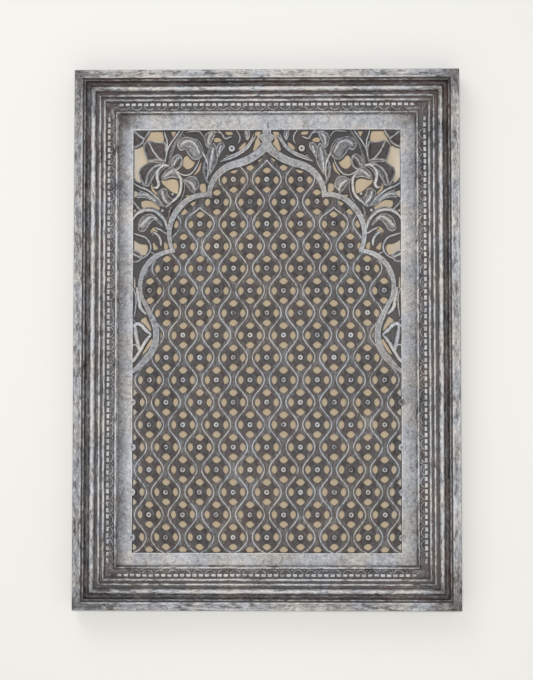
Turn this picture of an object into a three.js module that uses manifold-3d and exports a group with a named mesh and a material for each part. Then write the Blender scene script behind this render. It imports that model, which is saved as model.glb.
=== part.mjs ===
// A wall panel: a pierced and carved wooden lattice board in a stepped, mitred frame.
// Millimetres, +Z up. The carved face looks towards -Y and the frame's flat back lies on Y = 0.
// The origin is on the back of the top rail, at its middle, where the panel is fixed to a wall.

import * as THREE from 'three';
import { mergeGeometries, mergeVertices } from 'three/addons/utils/BufferGeometryUtils.js';
import Module from 'manifold-3d';

const wasm = await Module();
wasm.setup();

// ---- Driving dimensions ----

// The frame, over all, and its rails.
const FRAME_WIDTH = 600;
const FRAME_HEIGHT = 840;
const RAIL_WIDTH = 68;
const RIM_HEIGHT = 45;
const FIT_GAP = 0.3; // clearance between two pieces that meet
const ARC_TURN = 45; // degrees, the most that one chord of a round outline turns

// The board, in a rebate behind the rails' inner lips.
const BOARD_BACK = 8; // from the wall plane to the back of the board
const LATTICE_FACE = 21.5; // from the wall plane to the lattice's face
const BOARD_FACE = 24; // from the wall plane to the flat margin and the arch
const LIP_COVER = 8; // how far a rail's lip covers the board's edge

// The pierced opening inside the board's flat margin.
const MARGIN_SIDE = 22;
const MARGIN_TOP = 23.5;
const MARGIN_BOTTOM = 18.5;

// The lattice: columns half a cell apart, each dropped half a row against the next.
const COLUMNS = 16;
const ROW_PITCH = 70;
const LOWEST_ROW = 24; // centre of the lowest full cells above the opening's lower edge
// Each cell has a hole on all four sides of its flower: its straight side is next to the flower,
// near the cell's centre, and its point lies far out, between the straps.
const HOLE_UP_DOWN = { near: 10.5, far: 23, breadth: 16 };
const HOLE_SIDEWAYS = { near: 9.8, far: 20.5, breadth: 15.6 };

// Leaves and openings broader than this get six corners, the others four.
const BROAD = 17;

// ---- Worked out from them ----

const TOP = RAIL_WIDTH / 2; // the frame's top edge above the origin
const MIDDLE = TOP - FRAME_HEIGHT / 2;
const OPENING_HALF = FRAME_WIDTH / 2 - RAIL_WIDTH - MARGIN_SIDE;
const OPENING_TOP = TOP - RAIL_WIDTH - MARGIN_TOP;
const OPENING_BOTTOM = TOP - FRAME_HEIGHT + RAIL_WIDTH + MARGIN_BOTTOM;
const COLUMN_PITCH = (2 * OPENING_HALF) / COLUMNS;
const BOARD_HALF = FRAME_WIDTH / 2 - RAIL_WIDTH + LIP_COVER;
const BOARD_TOP = TOP - RAIL_WIDTH + LIP_COVER;
const BOARD_BOTTOM = TOP - FRAME_HEIGHT + RAIL_WIDTH - LIP_COVER;

// ---- Plane outlines ----

// Points strictly between two ends of a round arc. It rises to the left of the way from
// one end to the other, or to the right where rise is negative.
function arcBetween([x0, z0], [x1, z1], rise, steps) {
  const chord = Math.hypot(x1 - x0, z1 - z0);
  const along = [(x1 - x0) / chord, (z1 - z0) / chord];
  const halfAngle = 2 * Math.atan((2 * Math.abs(rise)) / chord);
  const radius = chord / 2 / Math.sin(halfAngle);
  const points = [];
  for (let i = 1; i < steps; i++) {
    const angle = halfAngle * ((2 * i) / steps - 1);
    const s = radius * Math.sin(angle) + chord / 2;
    const off = Math.sign(rise) * radius * (Math.cos(angle) - Math.cos(halfAngle));
    points.push([x0 + along[0] * s - along[1] * off, z0 + along[1] * s + along[0] * off]);
  }
  return points;
}

// How many chords a round arc needs, so that none of them turns by more than ARC_TURN.
function stepsFor([x0, z0], [x1, z1], rise) {
  const chord = Math.hypot(x1 - x0, z1 - z0);
  const turn = 4 * Math.atan((2 * Math.abs(rise)) / chord);
  return Math.max(1, Math.ceil(turn / THREE.MathUtils.degToRad(ARC_TURN)));
}

// The outline of a band that follows round arcs and changes width on the way.
// A run is [x, z, width], then [x, z, width, rise] for each arc.
function bandOutline(run) {
  const line = [[run[0][0], run[0][1]]];
  const widths = [run[0][2]];
  for (let i = 1; i < run.length; i++) {
    const [x, z, width, rise] = run[i];
    const [x0, z0, width0] = run[i - 1];
    const steps = stepsFor([x0, z0], [x, z], rise);
    line.push(...arcBetween([x0, z0], [x, z], rise, steps), [x, z]);
    for (let k = 1; k <= steps; k++) {
      widths.push(width0 + ((width - width0) * k) / steps);
    }
  }
  const left = [];
  const right = [];
  line.forEach(([x, z], i) => {
    const [xa, za] = line[Math.max(i - 1, 0)];
    const [xb, zb] = line[Math.min(i + 1, line.length - 1)];
    const length = Math.hypot(xb - xa, zb - za);
    const nx = (-(zb - za) / length) * (widths[i] / 2);
    const nz = ((xb - xa) / length) * (widths[i] / 2);
    left.push([x + nx, z + nz]);
    right.push([x - nx, z - nz]);
  });
  return [...left, ...right.reverse()];
}

function rectangle(left, right, bottom, top) {
  return [[left, bottom], [right, bottom], [right, top], [left, top]];
}

// A leaf-shaped outline about its centre: a kite, or with blunter sides where it is broad.
function leafOutline(x, z, length, width, turn) {
  const a = THREE.MathUtils.degToRad(turn);
  const kite = [[-0.5, 0], [0, -0.5], [0.5, 0], [0, 0.5]];
  const blunt = [[-0.5, 0], [-0.2, -0.5], [0.2, -0.5], [0.5, 0], [0.2, 0.5], [-0.2, 0.5]];
  return (width > BROAD ? blunt : kite).map(([s, w]) => [
    x + s * length * Math.cos(a) - w * width * Math.sin(a),
    z + s * length * Math.sin(a) + w * width * Math.cos(a),
  ]);
}

function mirrored(outline) {
  return outline.map(([x, z]) => [-x, z]);
}

// From places below the opening's top edge to places in the part's frame.
function hung(outline) {
  return outline.map(([x, z]) => [x, z + OPENING_TOP]);
}

// ---- Solids ----

// A straight prism over an outline in the XZ plane, from one height above the wall to another.
function prism(outline, fromWall, toFront) {
  const shape = new THREE.Shape(outline.map(([x, z]) => new THREE.Vector2(x, z)));
  const depth = toFront - fromWall;
  const geometry = new THREE.ExtrudeGeometry(shape, { depth, bevelEnabled: false });
  geometry.rotateX(Math.PI / 2);
  geometry.translate(0, -fromWall, 0);
  return geometry;
}

function toSolid(geometry) {
  geometry.deleteAttribute('normal');
  geometry.deleteAttribute('uv');
  const merged = mergeVertices(geometry, 1e-4);
  const vertProperties = new Float32Array(merged.attributes.position.array);
  const triVerts = new Uint32Array(merged.index.array);
  return new wasm.Manifold(new wasm.Mesh({ numProp: 3, vertProperties, triVerts }));
}

function toGeometry(solid) {
  const { vertProperties, triVerts } = solid.getMesh();
  const geometry = new THREE.BufferGeometry();
  geometry.setAttribute('position', new THREE.BufferAttribute(vertProperties, 3));
  geometry.setIndex(new THREE.BufferAttribute(triVerts, 1));
  geometry.computeVertexNormals();
  return geometry;
}

// ---- The frame's moulding ----

// The rail's section: inset from the outer edge, height above the wall. It steps down from a
// flat rim through a deep hollow, a large round and two small beads to the band and the fillet
// beside the board.
function railSection() {
  const lipUnder = BOARD_FACE + FIT_GAP;
  const rebate = RAIL_WIDTH - LIP_COVER - FIT_GAP;
  const roundTo = (from, to, rise, steps) => [...arcBetween(from, to, rise, steps), to];
  return [
    [0, 0],
    [0, RIM_HEIGHT - 2],
    [0.7, RIM_HEIGHT - 0.6],
    [2, RIM_HEIGHT],
    [12, RIM_HEIGHT],
    [12.8, RIM_HEIGHT - 0.8],
    [13, 41],
    [14.3, 41],
    ...roundTo([14.3, 41], [17.3, 40.5], 1.6, 3),
    ...roundTo([17.3, 38.5], [24.5, 34], -3.2, 3),
    ...roundTo([24.5, 35], [33, 36], 4, 4),
    [33.4, 33.5],
    [37.3, 33.5],
    ...roundTo([37.3, 33.5], [41, 33.5], 1.8, 3),
    [41.3, 32.3],
    [44, 32.3],
    ...roundTo([44, 32.3], [48.2, 32.3], 2, 3),
    [48.5, 30.3],
    [50.5, 30.3],
    [51, 31.8],
    [61.5, 29.6],
    [62.3, 28],
    ...roundTo([62.3, 28], [RAIL_WIDTH, 26.5], 1.2, 3),
    [RAIL_WIDTH, lipUnder],
    [rebate, lipUnder],
    [rebate, 0],
  ];
}

// A rail of that section with both ends cut at 45 degrees. It lies along X, its outer edge on
// Z = 0 and its inner edge below.
function mitredRail(length) {
  const section = railSection();
  const count = section.length;
  const endGap = (FIT_GAP / 2) * Math.SQRT2;
  const positions = [];
  for (const side of [-1, 1]) {
    for (const [inset, height] of section) {
      positions.push(side * (length / 2 - inset - endGap), -height, -inset);
    }
  }
  const index = [];
  for (let i = 0; i < count; i++) {
    const next = (i + 1) % count;
    index.push(i, next, count + i);
    index.push(next, count + next, count + i);
  }
  const outline = section.map(([inset, height]) => new THREE.Vector2(inset, height));
  for (const [a, b, c] of THREE.ShapeUtils.triangulateShape(outline, [])) {
    index.push(a, b, c);
    index.push(count + a, count + c, count + b);
  }
  const geometry = new THREE.BufferGeometry();
  geometry.setAttribute('position', new THREE.Float32BufferAttribute(positions, 3));
  geometry.setIndex(index);
  geometry.computeVertexNormals();
  return geometry;
}

// ---- The arch ----

// The left half of the many-lobed arch, measured from the opening's axis and top edge: a crown
// that sweeps up to the apex, a round shoulder, and a haunch that draws in to a waist and runs
// out into the margin. Each run ends in a cusp where the next begins.
const ARCH_RUNS = [
  [[0, -25, 13.5], [-48, -54, 12.3, 4.4], [-90.3, -106.8, 7.6, -12.5]],
  [[-86.6, -103.3, 7.4], [-138, -124, 9.8, -8], [-147.3, -191, 6, -10]],
  [
    [-144, -190.6, 6.4],
    [-182, -206.4, 8.8, -3.9],
    [-195, -266, 6.6, -8.9],
    [-177.5, -301, 9.5, 0.5],
    [-189, -360.5, 11.6, 9.7],
    [-211, -381, 6, 1],
  ],
];

// The left half of the three-lobed finial that ties the apex to the top margin.
const FINIAL = [[0, 3], [-7, 3], [-7, -6], [-12, -9.5], [-12.3, -13.5], [-6.8, -19.4], [-11, -27], [0, -33]];

function archSolid() {
  const halves = ARCH_RUNS.map((run) => bandOutline(run));
  halves.push(FINIAL);
  let arch = null;
  for (const outline of halves) {
    for (const side of [outline, mirrored(outline)]) {
      const piece = toSolid(prism(hung(side), BOARD_BACK, BOARD_FACE));
      arch = arch ? arch.add(piece) : piece;
    }
  }
  return arch;
}

const ARCH_LINE_STEPS = 5;

// The line of the arch from its left foot over the apex to its right foot.
function archLine() {
  const half = [];
  for (const run of ARCH_RUNS) {
    for (let i = 1; i < run.length; i++) {
      const [x, z, , rise] = run[i];
      half.push(...arcBetween(run[i - 1], [x, z], rise, ARCH_LINE_STEPS), [x, z]);
    }
  }
  return [...mirrored(half).reverse(), ...half];
}

// ---- The lattice ----

function isInside(outline, x, z) {
  let inside = false;
  outline.forEach(([xa, za], i) => {
    const [xb, zb] = outline[(i + 1) % outline.length];
    const crosses = za > z !== zb > z;
    if (crosses && x < xa + ((xb - xa) * (z - za)) / (zb - za)) inside = !inside;
  });
  return inside;
}

function distanceTo(line, x, z) {
  return Math.min(...line.map(([xa, za]) => Math.hypot(x - xa, z - za)));
}

// The centres of the cells in one column, from the lowest up.
function cellCentres(column) {
  const lift = column % 2 === 0 ? 0 : -ROW_PITCH / 2;
  const lowest = OPENING_BOTTOM + LOWEST_ROW + lift;
  const centres = [];
  for (let z = lowest; z < OPENING_TOP; z += ROW_PITCH) {
    centres.push([column * COLUMN_PITCH, z]);
  }
  return centres;
}

const QUARTERS = [[1, 0], [0, 1], [-1, 0], [0, -1]];

// Every hole under the arch that stands whole, clear of the arch's band and the opening's edge.
function latticeHoles() {
  const arch = hung(archLine());
  const field = [...arch, [-OPENING_HALF, OPENING_BOTTOM], [OPENING_HALF, OPENING_BOTTOM]];
  const clearOfArch = 9;
  const holes = [];
  for (let column = -COLUMNS / 2; column <= COLUMNS / 2; column++) {
    for (const [x, z] of cellCentres(column)) {
      for (const [outX, outZ] of QUARTERS) {
        const { near, far, breadth } = outX === 0 ? HOLE_UP_DOWN : HOLE_SIDEWAYS;
        const middle = (near + far) / 2;
        const [cx, cz] = [x + outX * middle, z + outZ * middle];
        if (!isInside(field, cx, cz) || distanceTo(arch, cx, cz) < clearOfArch) continue;
        const outline = [
          [near, breadth / 2],
          [near, -breadth / 2],
          [far, 0],
        ].map(([out, across]) => [
          x + outX * out - outZ * across,
          z + outZ * out + outX * across,
        ]);
        holes.push(prism(outline, BOARD_BACK - 1, BOARD_FACE + 1));
      }
    }
  }
  return toSolid(mergeGeometries(holes));
}

// ---- The carving outside the arch ----

// Openings between the stems and leaves on the left: x, z, length, width, turn. The right side
// mirrors them.
const LEAFWORK_OPENINGS = [
  [-177, -9, 28, 16, -6],
  [-201, -52, 54, 15, 98],
  [-178, -93, 24, 8, -65],
  [-151, -86, 31, 21, -35],
  [-184, -117, 33, 13, -17],
  [-178, -158, 16, 13, 30],
  [-198, -184, 26, 18, -60],
  [-124, -50, 25, 17, -30],
  [-101, -91, 18, 10, 82],
  [-77, -14, 15, 11, 0],
  [-38, -25, 20, 9, 42],
  [-15, -25, 18, 10, 50],
  [-190, -305, 25, 12, -60],
  [-188, -341, 29, 10, 57],
];

// Raised leaves on the left, in the same terms.
const LEAVES = [
  [-200, -12, 34, 22, 45],
  [-173, -34, 42, 26, -52],
  [-184, -68, 44, 20, 48],
  [-161, -106, 30, 16, -60],
  [-187, -143, 36, 16, 45],
  [-118, -29, 40, 26, -40],
  [-143, -50, 26, 12, 65],
  [-86, -44, 48, 13, -82],
  [-197, -329, 38, 12, 68],
];

// A leaf carved as a low roof: its sides rise to a midrib that is highest halfway, at the
// board's face.
function leafSolid([x, z, length, width, turn]) {
  const root = LATTICE_FACE - 3;
  const edge = LATTICE_FACE + 1;
  const outline = hung(leafOutline(x, z, length, width, turn));
  const count = outline.length;
  const points = [
    ...outline.map(([px, pz]) => [px, -root, pz]),
    ...outline.map(([px, pz]) => [px, -edge, pz]),
    [x, -BOARD_FACE, z + OPENING_TOP],
  ];
  const crown = points.length - 1;
  const index = [];
  for (let i = 0; i < count; i++) {
    const next = (i + 1) % count;
    index.push(i, next, count + i, next, count + next, count + i);
    index.push(count + i, count + next, crown);
    if (i > 0 && next > 0) index.push(0, next, i);
  }
  const geometry = new THREE.BufferGeometry();
  geometry.setAttribute('position', new THREE.Float32BufferAttribute(points.flat(), 3));
  geometry.setIndex(index);
  return geometry;
}

// ---- The board ----

function carvedBoard() {
  const opening = rectangle(-OPENING_HALF, OPENING_HALF, OPENING_BOTTOM, OPENING_TOP);
  const whole = rectangle(-BOARD_HALF, BOARD_HALF, BOARD_BOTTOM, BOARD_TOP);
  const margin = toSolid(prism(whole, BOARD_BACK, BOARD_FACE)).subtract(
    toSolid(prism(opening, BOARD_BACK - 1, BOARD_FACE + 1)),
  );
  let board = toSolid(prism(whole, BOARD_BACK, LATTICE_FACE)).subtract(latticeHoles());
  for (const opened of LEAFWORK_OPENINGS) {
    const outline = hung(leafOutline(...opened));
    for (const side of [outline, mirrored(outline)]) {
      board = board.subtract(toSolid(prism(side, BOARD_BACK - 1, BOARD_FACE + 1)));
    }
  }
  for (const leaf of LEAVES) {
    const solid = toSolid(leafSolid(leaf));
    board = board.add(solid).add(solid.mirror([1, 0, 0]));
  }
  return toGeometry(board.add(archSolid()).add(margin));
}

// ---- The scene graph ----

const railWood = { color: 0x8d8a88, roughness: 0.72, metalness: 0 };
const boardWood = { color: 0x7a7672, roughness: 0.78, metalness: 0 };

const panel = new THREE.Group();

const RAILS = [
  { name: 'top_rail', length: FRAME_WIDTH, place: [0, 0, TOP], turn: 0 },
  { name: 'bottom_rail', length: FRAME_WIDTH, place: [0, 0, TOP - FRAME_HEIGHT], turn: Math.PI },
  { name: 'left_rail', length: FRAME_HEIGHT, place: [-FRAME_WIDTH / 2, 0, MIDDLE], turn: -Math.PI / 2 },
  { name: 'right_rail', length: FRAME_HEIGHT, place: [FRAME_WIDTH / 2, 0, MIDDLE], turn: Math.PI / 2 },
];

for (const { name, length, place, turn } of RAILS) {
  const rail = new THREE.Mesh(mitredRail(length), new THREE.MeshStandardMaterial(railWood));
  rail.name = name;
  rail.position.set(...place);
  rail.rotation.y = turn;
  panel.add(rail);
}

const board = new THREE.Mesh(carvedBoard(), new THREE.MeshStandardMaterial(boardWood));
board.name = 'carved_board';
panel.add(board);

export default panel;
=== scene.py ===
# %% [markdown]
# # A pierced wall panel in washed wood
# The real panel is a carved lattice board that sits in a deep, stepped frame. Both are dark
# hardwood under a rubbed grey wash, which stays on what stands high and is wiped out of what
# lies low. The construction is loaded first and never moved. Each visible piece is then
# modelled round it, at the place where the construction says.

# %% Load the construction
import math

import bpy
from mathutils import Matrix, Vector, noise


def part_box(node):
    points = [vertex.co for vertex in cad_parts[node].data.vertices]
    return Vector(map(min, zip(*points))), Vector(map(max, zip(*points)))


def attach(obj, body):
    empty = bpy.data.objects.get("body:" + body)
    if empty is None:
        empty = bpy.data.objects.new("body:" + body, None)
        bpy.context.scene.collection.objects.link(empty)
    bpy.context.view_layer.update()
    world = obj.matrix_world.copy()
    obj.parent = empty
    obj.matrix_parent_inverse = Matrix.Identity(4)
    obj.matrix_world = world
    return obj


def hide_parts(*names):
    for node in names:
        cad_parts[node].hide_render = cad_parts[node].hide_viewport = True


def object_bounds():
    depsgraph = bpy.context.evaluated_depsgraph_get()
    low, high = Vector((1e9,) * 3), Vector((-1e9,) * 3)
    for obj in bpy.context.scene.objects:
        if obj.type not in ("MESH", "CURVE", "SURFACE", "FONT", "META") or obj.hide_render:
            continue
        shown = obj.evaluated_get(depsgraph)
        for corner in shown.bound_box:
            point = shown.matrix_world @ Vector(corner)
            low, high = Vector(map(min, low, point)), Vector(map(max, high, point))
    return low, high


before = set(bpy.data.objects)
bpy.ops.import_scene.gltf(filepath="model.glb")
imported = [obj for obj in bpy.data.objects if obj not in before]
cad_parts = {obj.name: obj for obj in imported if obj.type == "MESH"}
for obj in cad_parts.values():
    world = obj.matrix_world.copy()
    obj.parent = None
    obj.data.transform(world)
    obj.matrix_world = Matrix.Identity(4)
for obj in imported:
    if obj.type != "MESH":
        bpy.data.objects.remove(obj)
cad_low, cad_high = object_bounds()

MM = 0.001
noise.seed_set(7)  # the edges wander the same way in every run

rail_low, rail_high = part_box("top_rail")
board_low, board_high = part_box("carved_board")

HALF_WIDTH = cad_high.x / MM
TOP = cad_high.z / MM
BOTTOM = cad_low.z / MM
MIDDLE = (TOP + BOTTOM) / 2
RAIL_WIDTH = (rail_high.z - rail_low.z) / MM
BOARD_BACK = -board_high.y / MM
BOARD_FACE = -board_low.y / MM
MARGIN_SIDE, MARGIN_TOP, MARGIN_BOTTOM = 22, 23.5, 18.5
OPENING_HALF = HALF_WIDTH - RAIL_WIDTH - MARGIN_SIDE
OPENING_TOP = TOP - RAIL_WIDTH - MARGIN_TOP
OPENING_BOTTOM = BOTTOM + RAIL_WIDTH + MARGIN_BOTTOM
print(f"frame {2 * HALF_WIDTH:.0f} x {TOP - BOTTOM:.0f} mm, rails {RAIL_WIDTH:.0f} mm")
print(f"opening {2 * OPENING_HALF:.0f} x {OPENING_TOP - OPENING_BOTTOM:.0f} mm")

# %% [markdown]
# ## The camera and the room
# A panel like this hangs on a pale wall and is seen from a little below its middle. The camera
# stands straight in front, so far away that the frame fills most of the picture, and looks up
# slightly. The wall is one-sided: from behind it is clear, so the panel's back can be looked at.

# %% The camera
CAMERA_DISTANCE = 2.4
CAMERA_ASIDE = 0.045
CAMERA_DROP = 0.1135
AIM_DROP = 0.0034
LENS = 82.2

centre = (cad_low + cad_high) / 2
aim = Vector((centre.x, cad_low.y, centre.z - AIM_DROP))
stand = aim + Vector((CAMERA_ASIDE, -CAMERA_DISTANCE, -CAMERA_DROP))
bpy.ops.object.select_all(action="DESELECT")
bpy.ops.object.camera_add(location=stand)
camera = bpy.context.object
camera.rotation_euler = (aim - camera.location).to_track_quat("-Z", "Y").to_euler()
camera.data.lens = LENS
bpy.context.scene.camera = camera
print("camera", [round(v, 3) for v in camera.location])


# %% [markdown]
# ## Shader maths as plain sums
# A finish is built from masks: numbers between 0 and 1 that say where the wash lies. Each mask
# is a socket in a node tree, and this small class lets such sockets be added and multiplied
# like numbers. Every other node comes from its one method, node.

# %% A socket that can be calculated with
class Mask:
    def __init__(self, tree, socket=None):
        self.tree = tree
        self.socket = socket

    def node(self, kind, settings, values, output=0):
        made = self.tree.nodes.new(kind)
        for name, setting in settings.items():
            if name == "stops":
                ramp = made.color_ramp.elements
                while len(ramp) < len(setting):
                    ramp.new(1.0)
                for stop, (place, colour) in zip(ramp, setting):
                    stop.position = place
                    stop.color = colour
            else:
                setattr(made, name, setting)
        for key, value in values.items():
            if isinstance(value, Mask):
                self.tree.links.new(value.socket, made.inputs[key])
            else:
                made.inputs[key].default_value = value
        return Mask(self.tree, made.outputs[output])

    def math(self, operation, *values):
        return self.node("ShaderNodeMath", {"operation": operation}, dict(enumerate(values)))

    def __add__(self, other):
        return self.math("ADD", self, other)

    def __radd__(self, other):
        return self.math("ADD", other, self)

    def __sub__(self, other):
        return self.math("SUBTRACT", self, other)

    def __rsub__(self, other):
        return self.math("SUBTRACT", other, self)

    def __mul__(self, other):
        return self.math("MULTIPLY", self, other)

    def __rmul__(self, other):
        return self.math("MULTIPLY", other, self)

    def rising(self, low, high):
        """0 below low, 1 above high, and smooth between."""
        values = {"Value": self, "From Min": low, "From Max": high}
        return self.node("ShaderNodeMapRange", {"interpolation_type": "SMOOTHSTEP"}, values)


def colour(red, green, blue):
    """A colour given in the 0 to 255 steps of a paint chart, as the linear one shaders use."""
    linear = []
    for step in (red, green, blue):
        share = step / 255
        linear.append(share / 12.92 if share <= 0.04045 else ((share + 0.055) / 1.055) ** 2.4)
    return (*linear, 1.0)


# %% [markdown]
# ## The washed wood
# The maker stained the wood dark brown, brushed a grey-white wash over it and rubbed it off
# along the grain. How much wash each place keeps is stored on the mesh as a number named wash,
# which every piece gets from its own shape: 1 on an arris or a crest, 0 deep in a groove. In a
# few places the number is also lowered or raised as painted shade and highlight. The
# material breaks that number up with long streaks along the grain and fine speckle, and looks
# the colour up on a ramp from nearly black, over brown and grey, to off-white.

# %% The washed wood material
DARK = colour(32, 27, 26)
BROWN = colour(60, 52, 50)
RED_BROWN = colour(80, 57, 50)
SLATE = colour(104, 102, 102)
GREY = colour(158, 159, 161)
PALE = colour(210, 208, 206)


def new_material(name):
    material = bpy.data.materials.new(name)
    material.use_nodes = True
    shader = material.node_tree.nodes["Principled BSDF"]
    return material, shader, Mask(material.node_tree)


WASH_RAMP = [(0.0, DARK), (0.25, BROWN), (0.5, SLATE), (0.75, GREY), (1.0, PALE)]
COOL_TINT = colour(246, 249, 255)
WARM_TINT = colour(255, 250, 244)
STREAK_SCALE, FINE_SCALE, RUBBED_SCALE = 260.0, 620.0, 190.0  # along the grain
BLOTCH_SCALE, TINT_SCALE = 14.0, 22.0  # over the whole panel
BLOTCH_SHARE = 0.4
GRAIN_DEPTH = 0.0006  # metres


def noise_at(start, vector, scale, detail, roughness=0.5):
    values = {"Vector": vector, "Scale": scale, "Detail": detail, "Roughness": roughness}
    return start.node("ShaderNodeTexNoise", {}, values)


def mixed(start, share, first, second, blend="MIX"):
    settings = {"data_type": "RGBA", "blend_type": blend}
    return start.node("ShaderNodeMix", settings, {0: share, 6: first, 7: second}, output=2)


def washed_wood(name, grain_scale, streak=0.4, speckle=0.7, rubbing=0.3, redness=0.85):
    """Streak, speckle and rubbing say how much each breaks the wash up, and redness how much
    red-brown wood shows where the wash is gone."""
    material, shader, start = new_material(name)
    place = start.node("ShaderNodeTexCoord", {}, {}, output=3)
    wash = start.node("ShaderNodeAttribute", {"attribute_name": "wash"}, {}, output=2)
    drawn_out = start.node("ShaderNodeMapping", {}, {"Vector": place, "Scale": grain_scale})
    streaks = noise_at(start, drawn_out, STREAK_SCALE, 4.0)
    fine = noise_at(start, drawn_out, FINE_SCALE, 5.0, 0.7)
    blotches = noise_at(start, place, BLOTCH_SCALE, 3.0)
    rubbed = noise_at(start, drawn_out, RUBBED_SCALE, 4.0)
    kept = wash + (streaks - 0.5) * streak * 2 + (fine - 0.5) * speckle * 2
    kept = kept + (blotches - 0.5) * BLOTCH_SHARE - rubbed.rising(0.52, 0.7) * rubbing + 0.04
    washed = start.node("ShaderNodeValToRGB", {"stops": WASH_RAMP}, {"Fac": kept})
    warmth = noise_at(start, place, TINT_SCALE, 2.0)
    cool = mixed(start, 1.0, washed, COOL_TINT, "MULTIPLY")
    warm = mixed(start, 1.0, washed, WARM_TINT, "MULTIPLY")
    tone = mixed(start, warmth.rising(0.38, 0.62), cool, warm)
    bare = (1 - kept.rising(0.1, 0.42)) * blotches.rising(0.44, 0.6) * redness
    tone = mixed(start, bare, tone, RED_BROWN)
    links = material.node_tree.links
    links.new(tone.socket, shader.inputs["Base Color"])
    rough = 0.5 + kept * 0.25
    links.new(rough.socket, shader.inputs["Roughness"])
    relief = streaks * 0.6 + fine * 0.4
    bump = start.node("ShaderNodeBump", {}, {"Strength": 0.5, "Distance": GRAIN_DEPTH, "Height": relief})
    links.new(bump.socket, shader.inputs["Normal"])
    return material


LEVEL_GRAIN = (0.3, 1.0, 1.0)
UPRIGHT_GRAIN = (1.0, 1.0, 0.3)
EVEN_GRAIN = (0.7, 1.0, 0.7)
level_wood = washed_wood("washed_wood_level", LEVEL_GRAIN)
upright_wood = washed_wood("washed_wood_upright", UPRIGHT_GRAIN)
board_wood = washed_wood("washed_wood_board", UPRIGHT_GRAIN, streak=0.34, speckle=0.58, redness=0.25)
margin_wood = washed_wood(
    "washed_wood_margin", EVEN_GRAIN, streak=0.22, speckle=0.42, rubbing=0.12, redness=0.4
)
print("materials:", [m.name for m in (level_wood, upright_wood, board_wood, margin_wood)])


# %% [markdown]
# ## Small tools for modelling
# Operators act on everything that is selected, so each step starts by clearing the selection.
# An outline is a list of places across (x) and up (z), and height is how far something stands
# out from the wall. All are in millimetres, and place() turns them into a point of the scene.

# %% Helpers
def place(x, z, height):
    return Vector((x * MM, -height * MM, z * MM))


def hung(points):
    """Places given from the opening's top edge, as places on the panel."""
    return [(x, z + OPENING_TOP) for x, z in points]


def only(piece):
    if bpy.context.object and bpy.context.object.mode != "OBJECT":
        bpy.ops.object.mode_set(mode="OBJECT")
    bpy.ops.object.select_all(action="DESELECT")
    piece.select_set(True)
    bpy.context.view_layer.objects.active = piece


def edit(piece, select="SELECT"):
    only(piece)
    bpy.ops.object.mode_set(mode="EDIT")
    bpy.ops.mesh.select_all(action=select)


def done():
    bpy.ops.object.mode_set(mode="OBJECT")


def edit_faces(piece, wanted):
    """Goes into edit mode with the faces selected that wanted says yes to."""
    edit(piece, "DESELECT")
    bpy.context.tool_settings.mesh_select_mode = (False, False, True)
    done()
    for face in piece.data.polygons:
        face.select = wanted(face)
    bpy.ops.object.mode_set(mode="EDIT")


def face_outwards():
    """Turns every face of the mesh in edit mode outwards, and leaves edit mode."""
    bpy.ops.mesh.select_all(action="SELECT")
    bpy.ops.mesh.normals_make_consistent(inside=False)
    done()


def apply_modifier(piece, kind, **settings):
    only(piece)
    modifier = piece.modifiers.new(kind.lower(), kind)
    for name, value in settings.items():
        setattr(modifier, name, value)
    bpy.ops.object.modifier_apply(modifier=modifier.name)


def joined(pieces, name):
    only(pieces[0])
    for piece in pieces:
        piece.select_set(True)
    if len(pieces) > 1:
        bpy.ops.object.join()
    pieces[0].name = name
    pieces[0].data.name = name
    return pieces[0]


def outline_face(outline, height):
    """A flat face over an outline: a circle with as many corners, each moved to its place."""
    bpy.ops.object.select_all(action="DESELECT")
    bpy.ops.mesh.primitive_circle_add(vertices=len(outline), fill_type="NGON")
    piece = bpy.context.object
    for corner, (x, z) in zip(piece.data.vertices, outline):
        corner.co = place(x, z, height)
    return piece


def pull(height):
    """Pulls the selected faces out from the wall."""
    bpy.ops.mesh.extrude_region_move(TRANSFORM_OT_translate={"value": (0, -height * MM, 0)})


def slab(outline, back, front, crown=()):
    """A closed slab over an outline. Its face is then inset by each step of the crown, and
    raised or sunk by it."""
    area = sum(
        a[0] * b[1] - b[0] * a[1] for a, b in zip(outline, [*outline[1:], outline[0]])
    )
    piece = outline_face(outline if area > 0 else outline[::-1], back)
    edit(piece)
    pull(front - back)
    for inset, rise in crown:
        bpy.ops.mesh.inset(thickness=inset * MM, depth=rise * MM)
    face_outwards()
    return piece


def set_wash(piece, rule):
    """Stores how much wash each corner of a mesh keeps: rule takes x, z and height."""
    mesh = piece.data
    if "wash" in mesh.attributes:
        mesh.attributes.remove(mesh.attributes["wash"])
    layer = mesh.attributes.new("wash", "FLOAT", "POINT")
    for corner, wash in zip(mesh.vertices, layer.data):
        x, y, z = corner.co / MM
        wash.value = rule(x, z, -y)


def clamp(value, low=0, high=1):
    return min(high, max(low, value))


def by_height(low, high, least, most):
    """A wash rule: more wash the higher a place stands."""
    def rule(x, z, height):
        return least + (most - least) * clamp((height - low) / (high - low))
    return rule


def finish_piece(piece, name, material, node, angle):
    piece.name = name
    piece.data.name = name
    piece.data.materials.clear()
    piece.data.materials.append(material)
    only(piece)
    bpy.ops.object.shade_smooth_by_angle(angle=math.radians(angle))
    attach(piece, "root")
    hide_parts(node)
    piece.data.calc_loop_triangles()
    print(f"{name}: {len(piece.data.loop_triangles)} triangles")


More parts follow.
